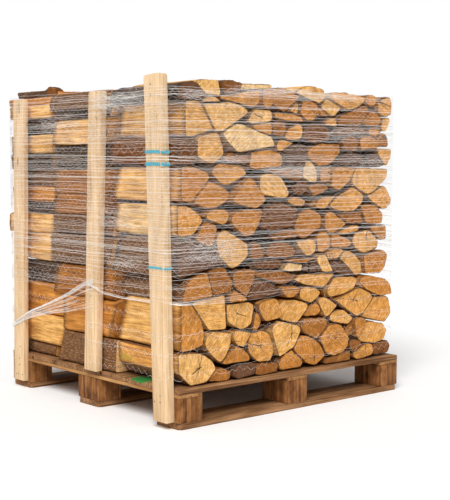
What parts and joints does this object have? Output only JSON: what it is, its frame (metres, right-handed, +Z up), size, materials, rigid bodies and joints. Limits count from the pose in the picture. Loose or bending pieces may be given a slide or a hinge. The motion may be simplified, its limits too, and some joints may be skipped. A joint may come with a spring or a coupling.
{
  "type": "pallet of firewood",
  "caption": "Split firewood logs stacked in rows on a nailed wooden pallet, held by upright side posts and a wrapped knitted net.",
  "frame": {"origin": "on the floor, under the middle of the whole load's outline seen from above", "axes": "+Z up; +X along the face that shows the front row's sawn ends, away from the posts; +Y from that face into the stack"},
  "size_m": [1.0357, 1.0413, 1.091],
  "materials": {
    "pallet_wood": "rough sawn",
    "post_wood": "planed",
    "split_wood": "split and sawn",
    "bark_slab": "bark",
    "net_thread": "knitted plastic thread"
  },
  "bodies": {
    "root": {"bottom_board_front": "pallet_wood", "block_front_left": "pallet_wood", "block_front_centre": "pallet_wood", "block_front_right": "pallet_wood", "bottom_board_middle": "pallet_wood", "block_middle_left": "pallet_wood", "block_middle_centre": "pallet_wood", "block_middle_right": "pallet_wood", "bottom_board_back": "pallet_wood", "block_back_left": "pallet_wood", "block_back_centre": "pallet_wood", "block_back_right": "pallet_wood", "stringer_left": "pallet_wood", "stringer_centre": "pallet_wood", "stringer_right": "pallet_wood", "deck_board_1": "pallet_wood", "deck_board_2": "pallet_wood", "deck_board_3": "pallet_wood", "deck_board_4": "pallet_wood", "deck_board_5": "pallet_wood", "deck_board_6": "pallet_wood", "deck_board_7": "pallet_wood", "post_front": "post_wood", "post_middle": "post_wood", "post_back": "post_wood", "logs_front_course_01": "split_wood", "logs_front_course_02": "split_wood", "logs_front_course_03": "split_wood", "logs_front_course_04": "split_wood", "logs_front_course_05": "split_wood", "logs_front_course_06": "split_wood", "logs_front_course_07": "split_wood", "logs_front_course_08": "split_wood", "logs_front_course_09": "split_wood", "logs_front_course_10": "split_wood", "logs_front_course_11": "split_wood", "logs_front_course_12": "split_wood", "logs_front_course_13": "split_wood", "logs_front_course_14": "split_wood", "logs_middle_course_01": "split_wood", "logs_middle_course_02": "split_wood", "logs_middle_course_03": "split_wood", "logs_middle_course_04": "split_wood", "logs_middle_course_05": "split_wood", "logs_middle_course_06": "split_wood", "logs_middle_course_07": "split_wood", "logs_middle_course_08": "split_wood", "logs_middle_course_09": "split_wood", "logs_back_course_01": "split_wood", "logs_back_course_02": "split_wood", "logs_back_course_03": "split_wood", "logs_back_course_04": "split_wood", "logs_back_course_05": "split_wood", "logs_back_course_06": "split_wood", "logs_back_course_07": "split_wood", "logs_back_course_08": "split_wood", "logs_back_course_09": "split_wood", "loose_split_on_top": "bark_slab", "net": "net_thread"}
  },
  "joints": []
}
